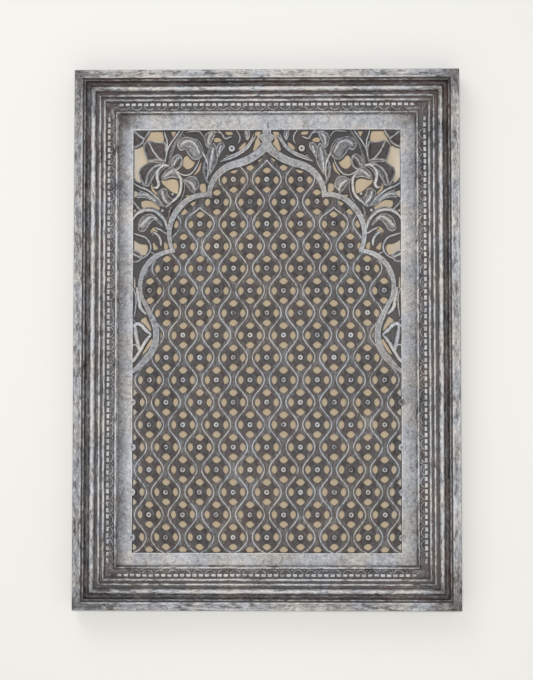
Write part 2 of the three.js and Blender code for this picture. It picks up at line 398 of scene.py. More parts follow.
def arc(start, end, rise, steps):
    """Points along a round arc from start to end, without start. It bulges by rise to the left
    of the way."""
    (x0, z0), (x1, z1) = start, end
    chord = math.hypot(x1 - x0, z1 - z0)
    ux, uz = (x1 - x0) / chord, (z1 - z0) / chord
    half = 2 * math.atan(2 * abs(rise) / chord)
    radius = chord / 2 / math.sin(half)
    points = []
    for i in range(1, steps + 1):
        angle = half * (2 * i / steps - 1)
        s = radius * math.sin(angle) + chord / 2
        off = math.copysign(radius * (math.cos(angle) - math.cos(half)), rise)
        points.append((x0 + ux * s - uz * off, z0 + uz * s + ux * off))
    return points


# %% [markdown]
# ## The moulded rails
# Each rail is one stick of moulding: a flat rim, a deep hollow, a large round, two small beads
# and the shelf that carries the carved band. A joiner runs the whole section and then cuts the
# ends at 45 degrees, and so does this: the section is a face, extruded in short steps and
# bisected at both ends. The steps let the edges wander a little, as a hand plane leaves them.

# %% The rail's section
FIT_GAP = 0.3
SECTION_STEPS = [
    # inset from the outer edge, height, wash, rise of the round that leads there
    (0, 0, 0.25, 0), (0, 20, 0.45, 0), (0, 43, 0.5, 0), (0.7, 44.4, 0.85, 0), (2, 45, 0.84, 0),
    (7, 45, 0.71, 0), (10.6, 45, 0.76, 0), (11.8, 45, 1.0, 0), (12.8, 44.2, 0.85, 0),
    (13, 41, 0.02, 0), (14.3, 41, 0.1, 0), (17.3, 40.5, 0.25, 1.6), (17.4, 38.5, 0.2, 0),
    (24.5, 34, 0.3, -3.2), (24.6, 35, 0.3, 0), (33, 36, 0.48, 4), (33.3, 33.5, 0.06, 0),
    (37.2, 33.5, 0.34, 0), (41, 33.5, 0.5, 1.8), (41.3, 32.3, 0.06, 0), (44, 32.3, 0.34, 0),
    (48.2, 32.3, 0.5, 2), (48.5, 30.3, 0.06, 0), (50.3, 30.2, 0.16, 0), (50.8, 29.4, 0.2, 0),
    (61.6, 28.4, 0.3, 0), (62.3, 28, 0.34, 0), (66, 27.3, 0.5, 1.0), (RAIL_WIDTH, 26.3, 0.46, 0),
    (RAIL_WIDTH, BOARD_FACE + FIT_GAP, 0.05, 0),
    (RAIL_WIDTH - 8.3, BOARD_FACE + FIT_GAP, 0.0, 0), (RAIL_WIDTH - 8.3, 0, 0.2, 0),
]
CREST_WASH = 0.95
FIRST_BEAD = 18  # the bead in the hollow, behind the rim, is painted duller on its crest: painted shade cast by the rim
# Painted shade: the lower crest wash of the bead that the rim shades.
CREST_IN_RIM_SHADE = 0.6


def rail_section():
    """The section's corners, each as inset, height and wash."""
    rows = [SECTION_STEPS[0][:3]]
    for inset, height, wash, rise in SECTION_STEPS[1:]:
        last = rows[-1]
        if rise:
            steps = 6 if rise > 3 or rise < 0 else 4
            for i, (a, b) in enumerate(arc(last[:2], (inset, height), rise, steps), 1):
                swell = math.sin(math.pi * i / steps) ** 2 if rise > 0 else 0
                base = last[2] + (wash - last[2]) * i / steps
                # A bead behind the rim gets the lower crest, as painted shade from the rim.
                crest = CREST_WASH if inset > FIRST_BEAD else CREST_IN_RIM_SHADE
                rows.append((a, b, base + (crest - base) * swell))
        else:
            rows.append((inset, height, wash))
    return rows


section = rail_section()
print(len(section), "corners in the rail's section")


# %% One rail
STEP_ALONG = 12
MITRE_GAP = 0.1
WOBBLE = 0.22
WOBBLE_ALONG, WOBBLE_ACROSS = 45, 9  # the length and width of one waver
PLAIN_END = 10  # the carving stops this far from the mitre
FADE = 26  # and is worn down over this length before it
SHELF_INSETS, SHELF_HEIGHTS = (50.6, 61.9), (28, 30)  # where the carved band's shelf lies
UNCARVED_RISE, UNCARVED_WASH = 1.3, 0.1  # the shelf's uncarved ends stand higher
RIM_WIDTH = 14
DULL_CORNER = 0.42  # the share of wash that is missing in the frame's corners
CORNER_REACH = 44


def moulded_rail(length):
    """A rail along X, its outer edge on Z = 0, both ends cut at 45 degrees."""
    bpy.ops.object.select_all(action="DESELECT")
    bpy.ops.mesh.primitive_circle_add(vertices=len(section), fill_type="NGON")
    rail = bpy.context.object
    for corner, (inset, height, wash) in zip(rail.data.vertices, section):
        corner.co = place(-length / 2, -inset, height)
    edit(rail)
    steps = round(length / STEP_ALONG)
    for _ in range(steps):
        bpy.ops.mesh.extrude_region_move(
            TRANSFORM_OT_translate={"value": (length / steps * MM, 0, 0)}
        )
    end = (length / 2 - MITRE_GAP / 2 * math.sqrt(2)) * MM
    for side in (-1, 1):
        bpy.ops.mesh.select_all(action="SELECT")
        bpy.ops.mesh.bisect(
            plane_co=(side * end, 0, 0), plane_no=(side, 0, -1), use_fill=True, clear_outer=True
        )
    face_outwards()
    return rail


def wash_rail(rail, length, seed, kept, low):
    """Gives a rail its share of wash, and lets its front edges wander."""
    layer = rail.data.attributes.new("wash", "FLOAT", "POINT")
    for corner, wash in zip(rail.data.vertices, layer.data):
        x, y, z = corner.co / MM
        inset, height = -z, -y
        nearest = min(section, key=lambda row: (row[0] - inset) ** 2 + (row[1] - height) ** 2)
        from_mitre = length / 2 - inset - abs(x)
        wash.value = nearest[2] * kept * (1 - DULL_CORNER * math.exp(-from_mitre / CORNER_REACH))
        wash.value += low if inset > RIM_WIDTH else 0
        on_shelf = SHELF_INSETS[0] < inset < SHELF_INSETS[1]
        if on_shelf and SHELF_HEIGHTS[0] < height < SHELF_HEIGHTS[1]:
            uncarved = 1 - clamp((from_mitre - PLAIN_END) / FADE)
            corner.co.y -= uncarved * UNCARVED_RISE * MM
            wash.value += uncarved * UNCARVED_WASH
        if height > 5 and inset < RAIL_WIDTH - 1 and from_mitre > 1:
            drift = noise.noise_vector(Vector((x / WOBBLE_ALONG, inset / WOBBLE_ACROSS, seed * 7.3)))
            corner.co.y += drift.y * WOBBLE * MM
            corner.co.z += drift.z * WOBBLE * MM if inset > 1 else 0


# %% [markdown]
# ## The carved band
# A row of square beads runs round the frame, and under each pair hangs a shallow loop, with a
# small three-cornered drop between two loops. One pair is modelled and repeated with an array,
# which is how the carver works too: mark the pitch out first, then cut the same thing again and
# again. The carving fades out short of each mitre.

# %% One repeat of the band, and a whole row of it
BAND_PERIOD = 19.4
BAND_INSET = 56  # the middle of the carved band, from the rail's outer edge
BEAD_INSET, BEAD_TOP = 52.9, 32.0
BEAD_SIZE = (7.0, 4.4, 3.2)  # along, across, deep
BEAD_ROUNDING = 0.9
BAND_ROOT = 26.5  # the height at which the loops and drops begin, inside the shelf
LOOP_ENDS, LOOP_SAG, LOOP_WIDTH = [(-8.2, -55.6), (8.2, -55.6)], 5.4, 1.7
DROP = [(-2.4, -61.8), (2.4, -61.8), (0.3, -57.9), (-0.3, -57.9)]
WORN_DEPTH = 1.1


def bead(x):
    bpy.ops.object.select_all(action="DESELECT")
    bpy.ops.mesh.primitive_cube_add(size=1, location=place(x, -BEAD_INSET, BEAD_TOP - BEAD_SIZE[2] / 2))
    piece = bpy.context.object
    piece.scale = (BEAD_SIZE[0] * MM, BEAD_SIZE[2] * MM, BEAD_SIZE[1] * MM)
    bpy.ops.object.transform_apply(location=True, rotation=False, scale=True)
    edit(piece)
    bpy.ops.mesh.bevel(offset=BEAD_ROUNDING * MM, segments=2, affect="EDGES")
    done()
    return piece


def loop_under_beads():
    """Half a flat ring: a loop that hangs from the outer ends of two beads."""
    line = [LOOP_ENDS[0], *arc(*LOOP_ENDS, -LOOP_SAG, 10)]
    return strap(line, [LOOP_WIDTH] * len(line), BAND_ROOT, 30.2, 0.9)


def drop(x):
    return slab([(x + a, z) for a, z in DROP], BAND_ROOT, 29.8, [(0.8, 0.8)])


STRAP_SECTION = [(-1, 0), (-0.55, 0.75), (0, 1), (0.55, 0.75), (1, 0)]  # across, and how high
THIN_STRAP = 3  # a strap narrower than this is flatter too


def strap(line, widths, back, front, crest):
    """A closed strap along a line: a grid bent to it, higher in the middle by crest, with its
    sides taken down to the back."""
    bpy.ops.object.select_all(action="DESELECT")
    count = len(line)
    bpy.ops.mesh.primitive_grid_add(
        x_subdivisions=count - 1, y_subdivisions=len(STRAP_SECTION) - 1, size=2
    )
    piece = bpy.context.object
    corners = piece.data.vertices
    for i, (x, z) in enumerate(line):
        xa, za = line[max(i - 1, 0)]
        xb, zb = line[min(i + 1, count - 1)]
        reach = math.hypot(xb - xa, zb - za) or 1
        nx, nz = -(zb - za) / reach, (xb - xa) / reach
        for j, (across, rise) in enumerate(STRAP_SECTION):
            off = across * widths[i] / 2
            height = front + crest * rise * min(1, widths[i] / THIN_STRAP)
            corners[j * count + i].co = place(x + nx * off, z + nz * off, height)
    edit(piece)
    bpy.ops.mesh.extrude_region_move(TRANSFORM_OT_translate={"value": (0, 0, 0)})
    done()
    for corner in corners:
        if corner.select:
            corner.co.y = -back * MM
    edit(piece)
    bpy.ops.mesh.remove_doubles(threshold=0.01 * MM)
    face_outwards()
    return piece


def carved_row(length, kept, low):
    """The carving of one rail, in the rail's own place: along X, outer edge on Z = 0."""
    count = round((length - 2 * (BAND_INSET + PLAIN_END)) / BAND_PERIOD)
    start = -count * BAND_PERIOD / 2 + BAND_PERIOD / 2
    parts = [bead(-BAND_PERIOD / 4), bead(BAND_PERIOD / 4), loop_under_beads(), drop(BAND_PERIOD / 2)]
    row = joined(parts, "band_row")
    apply_modifier(
        row, "ARRAY", count=count, use_relative_offset=False, use_constant_offset=True,
        constant_offset_displace=(BAND_PERIOD * MM, 0, 0),
    )
    end = count * BAND_PERIOD / 2
    for corner in row.data.vertices:
        corner.co.x += start * MM
        to_end = end - abs(corner.co.x) / MM
        worn = 1 - min(1, to_end / FADE)
        corner.co.y += WORN_DEPTH * worn * MM
    set_wash(row, by_height(29.2, 31.6, 0.24 + low, 0.9 * kept))
    return row


# %% Four rails with their carving
def turned_into_place(piece, quarter, centre_x, centre_z):
    """Turns a rail made along the top to its side of the frame, and moves it there."""
    only(piece)
    piece.rotation_euler = (0, quarter * math.pi / 2, 0)
    piece.location = (centre_x * MM, 0, centre_z * MM)
    bpy.ops.object.transform_apply(location=True, rotation=True, scale=False)


RAILS = [
    # name, node, length, quarter turns, middle of its outer edge, material, share of wash kept,
    # and wash left in the low places
    ("top", "top_rail", 2 * HALF_WIDTH, 0, (0, TOP), level_wood, 1.0, 0.02),
    ("right", "right_rail", TOP - BOTTOM, 1, (HALF_WIDTH, MIDDLE), upright_wood, 0.97, 0.04),
    ("bottom", "bottom_rail", 2 * HALF_WIDTH, 2, (0, BOTTOM), level_wood, 0.94, 0.07),
    ("left", "left_rail", TOP - BOTTOM, 3, (-HALF_WIDTH, MIDDLE), upright_wood, 0.9, 0.13),
]
for seed, (side, node, length, quarter, outer, material, kept, low) in enumerate(RAILS):
    rail = moulded_rail(length)
    wash_rail(rail, length, seed, kept, low)
    turned_into_place(rail, quarter, *outer)
    finish_piece(rail, f"{side}_moulding", material, node, 30)
    row = carved_row(length, kept, low)
    turned_into_place(row, quarter, *outer)
    finish_piece(row, f"{side}_carved_band", material, node, 40)


# %% [markdown]
# ## The board's flat margin
# The board is one plank. Its margin is left flat all round the carving, and only a worn arris
# marks its inner edge. A plane is inset, its middle is taken out, and the ring that is left is
# pulled forward to the board's thickness.

# %% The margin
RING_WIDTH = 25  # before its inner edge is put on the opening
EDGE_CUTS = 40
EDGE_WAVER, WAVER_LENGTH = 0.7, 24
EDGE_WASH = 0.98
LEVEL_WASH = {"above": 0.8, "below": 0.78}
SIDE_FALL = 8  # over this width the level sides' wash turns into the upright ones'
# Upright sides: wash beside the opening, what is lost outwards towards the rail, what is lost in the
# upper corner. Both losses are partly wash rubbed off and partly painted shade cast by the rails.
LEFT_WASH_AND_SHADE, RIGHT_WASH_AND_SHADE = (0.9, 0.46, 0.3), (0.84, 0.24, 0.16)


def to_opening(x, z):
    """How far a place on the margin is from the opening's edge."""
    return math.hypot(max(0, abs(x) - OPENING_HALF), max(0, z - OPENING_TOP, OPENING_BOTTOM - z))


def flat_margin():
    half = board_high.x / MM
    low, high = board_low.z / MM, board_high.z / MM
    ring = outline_face([(-half, low), (half, low), (half, high), (-half, high)], BOARD_BACK)
    edit(ring)
    bpy.ops.mesh.inset(thickness=RING_WIDTH * MM, depth=0)
    bpy.ops.mesh.delete(type="FACE")
    done()
    for corner in ring.data.vertices:
        x, z = corner.co.x / MM, corner.co.z / MM
        if abs(x) < half - 5:
            edge = OPENING_TOP if z > MIDDLE else OPENING_BOTTOM
            corner.co = place(math.copysign(OPENING_HALF, x), edge, BOARD_BACK)
    edit(ring)
    bpy.ops.mesh.subdivide(number_cuts=EDGE_CUTS)
    done()
    for corner in ring.data.vertices:
        x, z = corner.co.x / MM, corner.co.z / MM
        if to_opening(x, z) < 0.1:
            drift = noise.noise_vector(Vector((x / WAVER_LENGTH, z / WAVER_LENGTH, 5.2))) * EDGE_WAVER
            corner.co += Vector((drift.x, 0, drift.z)) * MM
    edit(ring)
    pull(BOARD_FACE - BOARD_BACK)
    face_outwards()
    return ring


def margin_wash(x, z, height):
    """The upright sides are darker than the level ones, the left one most of all, and darker outwards
    towards the rails and in the upper corners: partly wash rubbed off, partly painted shade cast by the
    rails.
    """
    if height < BOARD_FACE - 1:
        return 0.12
    if to_opening(x, z) < 1:
        return EDGE_WASH
    beside = abs(x) - OPENING_HALF
    at_edge, outwards, corner_shade_loss = LEFT_WASH_AND_SHADE if x < 0 else RIGHT_WASH_AND_SHADE
    level = LEVEL_WASH["above" if z > MIDDLE else "below"]
    # Darker outwards towards the rail and in the upper corner: painted shade cast by the rails, together
    # with wash rubbed off.
    side = at_edge - clamp(beside / MARGIN_SIDE) * outwards
    corner_shade_mask = clamp((beside + 20) / 24) * clamp((z - OPENING_TOP) / 8)
    return level + clamp(beside / SIDE_FALL) * (side - level) - corner_shade_loss * corner_shade_mask


def crack(line, width, depth):
    """A dark split in the wood: a narrow wedge along a crooked line, taken out of the plank."""
    left = [(x - width / 2, z) for x, z in line]
    right = [(x + width / 2, z) for x, z in line[::-1]]
    return slab(left + right, BOARD_FACE - depth, BOARD_FACE + 2)


CRACK = [(2.4, 12), (1.6, 8), (2.6, 4), (2.0, 0), (2.6, -2)]
CRACK_WIDTH, CRACK_DEPTH = 1.4, 3
margin = flat_margin()
split = crack(hung(CRACK), CRACK_WIDTH, CRACK_DEPTH)
apply_modifier(margin, "BOOLEAN", operation="DIFFERENCE", object=split, solver="MANIFOLD")
bpy.data.objects.remove(split)
set_wash(margin, margin_wash)
finish_piece(margin, "board_margin", margin_wood, "carved_board", 30)

# %% [markdown]
# ## The many-lobed arch
# A flat band, as high as the margin, follows the arch from one waist to the other. Its line is
# a chain of round arcs that meet in cusps, the way such an arch is set out with compasses. Each
# run of arcs becomes an outline, and the outline becomes a slab whose face is inset twice, once
# up and once down, which leaves a fine raised line along both edges.

# %% The arch's band
ARCH_RUNS = [
    [(0, -25, 13.5), (-48, -54, 12.3, 4.4), (-90.3, -106.8, 7.6, -12.5)],
    [(-86.6, -103.3, 7.4), (-138, -124, 9.8, -8), (-147.3, -191, 6, -10)],
    [
        (-144, -190.6, 6.4), (-182, -206.4, 8.8, -3.9), (-195, -266, 6.6, -8.9),
        (-177.5, -301, 9.5, 0.5), (-189, -360.5, 11.6, 9.7), (-211, -381, 6, 1),
    ],
]
FINIAL = [
    (0, 3), (-7, 3), (-7, -6), (-12, -9.5), (-12.3, -13.5), (-6.8, -19.4), (-11, -27), (0, -33),
]
ARC_STEPS = 9


def mirrored(points):
    return [(-x, z) for x, z in points]


def run_line(run):
    """The middle line of a run of arcs, and its width at each point."""
    line, widths = [run[0][:2]], [run[0][2]]
    for (x0, z0, w0, *_), (x1, z1, w1, rise) in zip(run, run[1:]):
        line += arc((x0, z0), (x1, z1), rise, ARC_STEPS)
        widths += [w0 + (w1 - w0) * i / ARC_STEPS for i in range(1, ARC_STEPS + 1)]
    return line, widths


def band_outline(line, widths):
    left, right = [], []
    for i, (x, z) in enumerate(line):
        xa, za = line[max(i - 1, 0)]
        xb, zb = line[min(i + 1, len(line) - 1)]
        reach = math.hypot(xb - xa, zb - za)
        nx, nz = -(zb - za) / reach * widths[i] / 2, (xb - xa) / reach * widths[i] / 2
        left.append((x + nx, z + nz))
        right.append((x - nx, z - nz))
    return left + right[::-1]


BAND_CROWN = [(0.7, 0.7), (0.9, -0.3)]  # inset and rise


def merge_into(piece, others):
    """Joins other closed shapes to a piece as one skin, and removes them."""
    for other in others:
        apply_modifier(piece, "BOOLEAN", operation="UNION", object=other, solver="MANIFOLD")
        bpy.data.objects.remove(other)


def select_level(piece, height):
    """Goes into edit mode with the faces selected that lie flat at one height."""
    def level(face):
        return abs(face.normal.y) > 0.99 and abs(-face.center.y / MM - height) < 0.05
    edit_faces(piece, level)


def arch_wash(x, z, height):
    """Bare flanks, dull slopes, and the most wash on the raised lines along the edges."""
    if height < 20:
        return 0.1
    if height < 23.4:
        return 0.4
    return 0.88 if height > 23.9 else 0.7


ARCH_TOP = BOARD_FACE - 0.7
ARCH_BACK = BOARD_BACK + 0.5
arch_parts = []
for run in ARCH_RUNS:
    outline = hung(band_outline(*run_line(run)))
    for side in (outline, mirrored(outline)):
        arch_parts.append(slab(side, ARCH_BACK, ARCH_TOP))
finial_outline = hung(FINIAL + mirrored(FINIAL[-2:0:-1]))
arch = slab(finial_outline, ARCH_BACK, ARCH_TOP)
merge_into(arch, arch_parts)
select_level(arch, ARCH_TOP)
bpy.ops.mesh.dissolve_faces()
for inset, rise in BAND_CROWN:
    bpy.ops.mesh.inset(thickness=inset * MM, depth=rise * MM)
done()
set_wash(arch, arch_wash)
finish_piece(arch, "arch_band", margin_wood, "carved_board", 30)

# %% [markdown]
# ## The lattice
# Under the arch the board is a net of onion-shaped cells. Each has a ringed button in its
# middle and four holes round it. One cell is a sheet of four-sided faces with the holes left
# out, bent to the wavy line that it shares with the next column. It is repeated up and across,
# merged with its neighbours, smoothed, given its thickness, and cut to the arch.

# %% One cell of the net
LAST_COLUMN = 8  # counted from the middle to either side
COLUMNS = range(-LAST_COLUMN, LAST_COLUMN + 1)
ROWS = 10
COLUMN_PITCH = OPENING_HALF / LAST_COLUMN
ROW_PITCH = 70
LOWEST_ROW = OPENING_BOTTOM + 24
WAVE_FAR, WAVE_NEAR = 22.6, 3.65
LATTICE_BACK = BOARD_BACK + 1
LATTICE_FACE = 20.5

# One quarter of the cell, from its centre outwards: x and z of each crossing, row by row.
# The last place in a row lies on the wavy line, so only its z is given.
QUARTER = [
    [(0, 0), (4, 0), (9.9, 0), (14.6, 0), (19.3, 0), 0],
    [(0, 4.6), (4.2, 4.4), (10.5, 3.4), (14.6, 4), (18.7, 3.4), 4.5],
    [(0, 9.4), (2.2, 10.1), (12.4, 5.5), (14.6, 7.7), (16.8, 5.5), 8.6],
    [(0, 12), (4.7, 12.1), (9.6, 11.0), (13.2, 10.9), (16.1, 11.2), 12.4],
    [(0, 15.2), (8.3, 15.2), (10.4, 15.3), (12.3, 15.4), (14.0, 15.6), 16.3],
    [(0, 18.3), (4.7, 18.5), (7.8, 19.1), (9.4, 19.6), (10.8, 20.2), 21],
    [(0, 21.2), (2.2, 20.7), (4.9, 22.6), (6.3, 23.8), (7.3, 24.6), 26],
    [(0, 35), (0.9, 35), (1.7, 35), (2.4, 35), (3.1, 35), 35],
]


def lift(column):
    """How far a column's cells are set off: every second one stands half a row lower."""
    return 0 if column % 2 == 0 else -ROW_PITCH / 2


def wave(z):
    """How far the wavy line is from the column's axis, z above a cell's centre."""
    mean, swing = (WAVE_FAR + WAVE_NEAR) / 2, (WAVE_FAR - WAVE_NEAR) / 2
    return mean + swing * math.cos(math.pi * z / (ROW_PITCH / 2))


def net_cell():
    rows, columns = len(QUARTER) - 1, len(QUARTER[0]) - 1
    bpy.ops.object.select_all(action="DESELECT")
    bpy.ops.mesh.primitive_grid_add(x_subdivisions=2 * columns, y_subdivisions=2 * rows, size=2)
    cell = bpy.context.object
    for corner in cell.data.vertices:
        i = round((corner.co.x + 1) * columns) - columns
        j = round((corner.co.y + 1) * rows) - rows
        spot = QUARTER[abs(j)][abs(i)]
        x, z = spot if isinstance(spot, tuple) else (wave(spot), spot)
        corner.co = place(math.copysign(x, i), math.copysign(z, j), LATTICE_BACK)
    edit_faces(cell, in_a_hole)
    bpy.ops.mesh.delete(type="FACE")
    done()
    return cell


def in_a_hole(face):
    """Holes lie beside the button and over and under it."""
    x, z = abs(face.center.x / MM), abs(face.center.z / MM)
    return (9.5 < x < 18 and z < 7) or (x < 4.4 and 9.8 < z < 20.6)


def arch_line():
    """The arch's middle line from its left foot to its right foot. Where two runs meet in a
    cusp, their last and first points are left out, so that the line doesn't cross itself."""
    half = []
    for number, run in enumerate(ARCH_RUNS):
        line = run_line(run)[0]
        first = 1 if number else 0
        last = len(line) if run is ARCH_RUNS[-1] else -1
        half += line[first:last]
    return half[::-1] + mirrored(half[1:])


def cell_centres():
    for column in COLUMNS:
        for row in range(ROWS):
            yield column, column * COLUMN_PITCH, LOWEST_ROW + lift(column) + row * ROW_PITCH


def inside(outline, x, z):
    found = False
    for (xa, za), (xb, zb) in zip(outline, [*outline[1:], outline[0]]):
        if (za > z) != (zb > z) and x < xa + (xb - xa) * (z - za) / (zb - za):
            found = not found
    return found


under_arch = hung(arch_line())
FOOT = under_arch[0][1]
TUCK = 1.5  # how far the carving runs in under the margin
FIELD = [
    *under_arch,
    (OPENING_HALF + TUCK, OPENING_BOTTOM - TUCK),
    (-OPENING_HALF - TUCK, OPENING_BOTTOM - TUCK),
]

cell = net_cell()
net_parts = []
for column in COLUMNS:
    only(cell)
    bpy.ops.object.duplicate()
    copy = bpy.context.object
    apply_modifier(
        copy, "ARRAY", count=ROWS, use_relative_offset=False, use_constant_offset=True,
        constant_offset_displace=(0, 0, ROW_PITCH * MM),
    )
    shift = place(column * COLUMN_PITCH, LOWEST_ROW + lift(column), 0)
    copy.data.transform(Matrix.Translation(shift))
    net_parts.append(copy)
bpy.data.objects.remove(cell)
net = joined(net_parts, "lattice")
edit(net)
bpy.ops.mesh.remove_doubles(threshold=0.02 * MM)
done()
apply_modifier(net, "SUBSURF", levels=1, render_levels=1)
edit(net)
pull(LATTICE_FACE - LATTICE_BACK)
face_outwards()
print("net before cutting:", len(net.data.polygons), "faces")

# %% Cut to the arch
field = slab(FIELD, BOARD_BACK - 4, BOARD_FACE + 6)


def cut_to_field(piece):
    apply_modifier(piece, "BOOLEAN", operation="INTERSECT", object=field, solver="MANIFOLD")


def to_button(x, z):
    """The distance to the nearest button, where the way up counts a little less."""
    ways = []
    column = round(x / COLUMN_PITCH)
    for near in (column - 1, column, column + 1):
        row = round((z - LOWEST_ROW - lift(near)) / ROW_PITCH)
        up = z - (LOWEST_ROW + lift(near) + row * ROW_PITCH)
        ways.append(math.hypot(x - near * COLUMN_PITCH, up * 0.8))
    return min(ways)


DISH_RADIUS, DISH_DEPTH = 8.5, 1.6  # the ring-shaped hollow round each button
cut_to_field(net)
for corner in net.data.vertices:
    x, y, z = corner.co / MM
    if -y > LATTICE_FACE - 0.5:
        dish = max(0, 1 - abs(to_button(x, z) - DISH_RADIUS) / DISH_RADIUS)
        corner.co.y += DISH_DEPTH * dish * MM


def net_wash(x, z, height):
    """The net is darkest round the buttons, as painted shade in the hollow there together with less
    wash, and the holes' sides are nearly bare.
    """
    if height < LATTICE_FACE - 3:
        return 0.14 if height < LATTICE_BACK + 1 else 0.02
    # Painted shade: darker towards each button, in its ring-shaped hollow, together with less wash.
    return 0.05 + 0.31 * clamp((to_button(x, z) - 9) / 10)


select_level(net, LATTICE_BACK)
bpy.ops.mesh.dissolve_limited(angle_limit=math.radians(1))
done()
set_wash(net, net_wash)
finish_piece(net, "lattice", board_wood, "carved_board", 40)

# %% [markdown]
# ## Fillets and buttons
# A thin round fillet rides on every wavy line and catches the most wash. It is a curve with a
# round bevel, made a mesh and cut to the arch like the net. The button is a small turned shape:
# a ring round a hollow, on a low boss. Its section is spun once and the button copied.

# %% The fillets
# Columns whose topmost cell closes in a point: its row, and how high the point stands over it.
PEAKS = {0: (8, 30.5), -4: (7, 25.5), 4: (7, 25.5)}
PEAK_FROM = 12
TOE_FROM = 8  # the lowest cells start to close this far under their buttons
PER_ROW = 20
FILLET_RADIUS = 1.0


def beside(column, z):
    """How far the fillet runs from a column's axis at height z, or None past its peak."""
    below = LOWEST_ROW - TOE_FROM - z
    if column % 2 == 0 and below > 0:
        share = below / (LOWEST_ROW - TOE_FROM - OPENING_BOTTOM)
        return wave(TOE_FROM) * max(0, 1 - share) ** 0.5
    if column in PEAKS:
        row, tip = PEAKS[column]
        above = z - (LOWEST_ROW + row * ROW_PITCH)
        if above > tip:
            return None
        if above > PEAK_FROM:
            share = (above - PEAK_FROM) / (tip - PEAK_FROM)
            return wave(PEAK_FROM) * (1 - share) ** 1.2
    return wave(z - LOWEST_ROW - lift(column))


def fillet_line(gap):
    """The fillet between one column and the next."""
    points = []
    for i in range((ROWS + 1) * PER_ROW):
        z = OPENING_BOTTOM + 0.3 + i * ROW_PITCH / PER_ROW
        from_left, from_right = beside(gap, z), beside(gap + 1, z)
        if from_left is None or from_right is None:
            peak = gap if from_left is None else gap + 1
            row, tip = PEAKS[peak]
            points.append((peak * COLUMN_PITCH, LOWEST_ROW + row * ROW_PITCH + tip))
            break
        x = gap * COLUMN_PITCH + from_left
        even = gap + 1 if gap % 2 else gap
        if (z < LOWEST_ROW and even != gap) or (z > LOWEST_ROW and gap + 1 in PEAKS):
            x = (gap + 1) * COLUMN_PITCH - from_right
        points.append((x, z))
    return points


def wavy_fillets():
    curve = bpy.data.curves.new("fillets", "CURVE")
    curve.dimensions = "3D"
    curve.bevel_depth = FILLET_RADIUS * MM
    curve.bevel_resolution = 1
    curve.use_fill_caps = True
    for gap in COLUMNS[:-1]:
        points = fillet_line(gap)
        spline = curve.splines.new("POLY")
        spline.points.add(len(points) - 1)
        for point, (x, z) in zip(spline.points, points):
            point.co = (*place(x, z, LATTICE_FACE + 0.7), 1)
    made = bpy.data.objects.new("fillets", curve)
    bpy.context.scene.collection.objects.link(made)
    only(made)
    bpy.ops.object.convert(target="MESH")
    edit(made)
    bpy.ops.mesh.remove_doubles(threshold=0.01 * MM)
    face_outwards()
    return made


fillets = wavy_fillets()
cut_to_field(fillets)
worn_crest = by_height(LATTICE_FACE + 0.4, LATTICE_FACE + 1.4, 0.4, 1.0)


def fillet_wash(x, z, height):
    """Bright crests, rubbed more in some places than in others."""
    return worn_crest(x, z, height) * (0.97 + 0.22 * noise.noise(Vector((x / 17, z / 17, 1))))


set_wash(fillets, fillet_wash)
finish_piece(fillets, "lattice_fillets", board_wood, "carved_board", 60)

# %% The buttons
BUTTON_SECTION = [
    # radius, height above the lattice's face
    (1.2, 0.5), (2.5, 1.9), (3.7, 1.4), (4.3, 0.3), (6.2, -2.6),
]
BUTTON_STEPS = 10


def lathe_button():
    """The button's section, spun round its axis and closed at its root."""
    bpy.ops.object.select_all(action="DESELECT")
    bpy.ops.mesh.primitive_plane_add(size=1)
    piece = bpy.context.object
    edit(piece)
    bpy.ops.mesh.delete(type="ONLY_FACE")
    bpy.ops.mesh.select_all(action="SELECT")
    bpy.ops.mesh.delete(type="VERT")
    done()
    rows = [(0, 0.1), *BUTTON_SECTION, (0, -4)]
    piece.data.from_pydata(
        [place(r, 0, h) for r, h in rows], [(i, i + 1) for i in range(len(rows) - 1)], []
    )
    edit(piece)
    bpy.ops.mesh.spin(steps=BUTTON_STEPS, angle=2 * math.pi, center=(0, 0, 0), axis=(0, 1, 0))
    bpy.ops.mesh.select_all(action="SELECT")
    bpy.ops.mesh.remove_doubles(threshold=0.01 * MM)
    face_outwards()
    return piece


ARCH_CLEARANCE = 11
KNOB_SIZE = 1.3  # the buttons on the margin's edge are larger
master = lathe_button()
copies, knobs = [], []
for column, x, z in cell_centres():
    near_arch = min(math.hypot(x - a, z - b) for a, b in under_arch)
    on_edge = abs(column) == LAST_COLUMN
    if z < OPENING_BOTTOM + 3:
        continue
    if on_edge and z < FOOT - 8:
        bucket, height, size = knobs, BOARD_FACE - 0.4, KNOB_SIZE
    elif not on_edge and inside(FIELD, x, z) and near_arch > ARCH_CLEARANCE:
        bucket, height, size = copies, LATTICE_FACE, 1
    else:
        continue
    only(master)
    bpy.ops.object.duplicate()
    copy = bpy.context.object
    for corner in copy.data.vertices:
        corner.co = corner.co * size + place(x, z, height)
    worn = 0.92 + 0.4 * noise.noise(Vector((x / 23, z / 31, 4)))
    least = 0.3 if on_edge else 0.08
    set_wash(copy, by_height(height - 0.5, height + 1.6, least, min(1.05, worn)))
    bucket.append(copy)
bpy.data.objects.remove(master)
buttons = joined(copies, "lattice_buttons")
finish_piece(buttons, "lattice_buttons", board_wood, "carved_board", 50)
edge_knobs = joined(knobs, "edge_knobs")
finish_piece(edge_knobs, "edge_knobs", board_wood, "carved_board", 50)

# %% [markdown]
# ## The leafwork's ground
# Between the arch and the margin the plank stays as a low dark ground, with openings sawn right
# through it between the stems. It is one slab over both corners, cut with the arch's field and
# with a plug for each opening.

